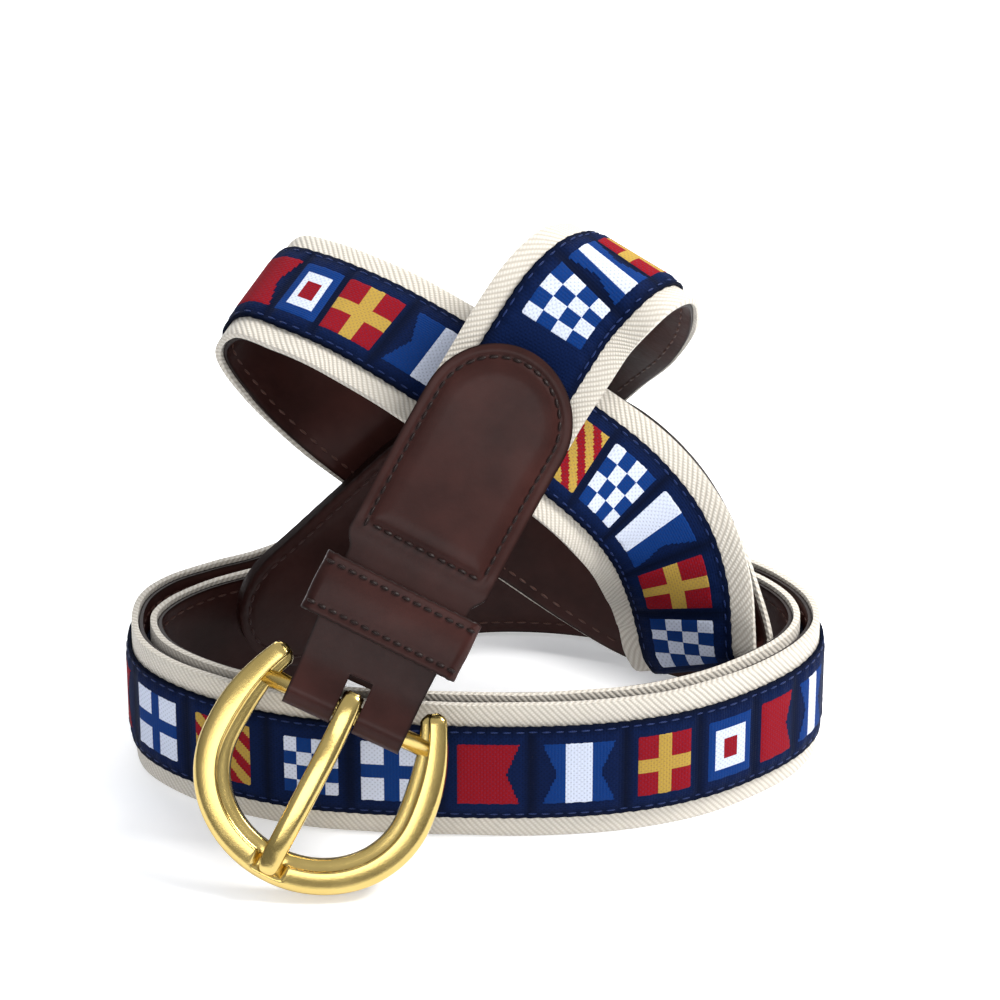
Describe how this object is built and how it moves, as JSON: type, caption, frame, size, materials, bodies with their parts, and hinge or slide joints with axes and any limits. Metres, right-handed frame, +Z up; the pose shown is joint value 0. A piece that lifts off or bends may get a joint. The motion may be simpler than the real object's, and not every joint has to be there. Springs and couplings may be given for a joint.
{
  "type": "canvas belt",
  "caption": "Canvas belt coiled on its edge: cream webbing with a navy signal-flag ribbon, brown leather lining, tab, keeper and tip, and a brass horseshoe buckle.",
  "frame": {"origin": "middle of the coiled belt's bounding box, on the surface that it stands on", "axes": "+Z up, +X to the right along the coil's long side, -Y towards the front, where the buckle is"},
  "size_m": [0.149, 0.1206, 0.1186],
  "materials": {
    "canvas": "twill weave",
    "ribbon": "woven, with raised flag motifs",
    "lining_leather": "smooth, satin",
    "tab_leather": "smooth, satin, stitched",
    "keeper_leather": "smooth, satin, stitched",
    "tip_leather": "grained, satin, stitched",
    "brass": "polished"
  },
  "bodies": {
    "belt": {"webbing": "canvas", "ribbon": "ribbon", "lining": "lining_leather", "buckle_tab": "tab_leather", "keeper": "keeper_leather", "billet": "tip_leather"},
    "buckle": {"buckle_frame": "brass"},
    "prong": {"prong": "brass"}
  },
  "joints": [
    {"name": "buckle_hinge", "type": "hinge", "parent": "belt", "child": "buckle", "pos_m": [-0.0262, -0.04082, 0.03452], "axis": [-0.9081, 0.1996, 0.3682], "range_deg": [0, 30]},
    {"name": "prong_hinge", "type": "hinge", "parent": "buckle", "child": "prong", "pos_m": [-0.0262, -0.04082, 0.03452], "axis": [-0.9081, 0.1996, 0.3682], "range_deg": [0, 90]}
  ]
}
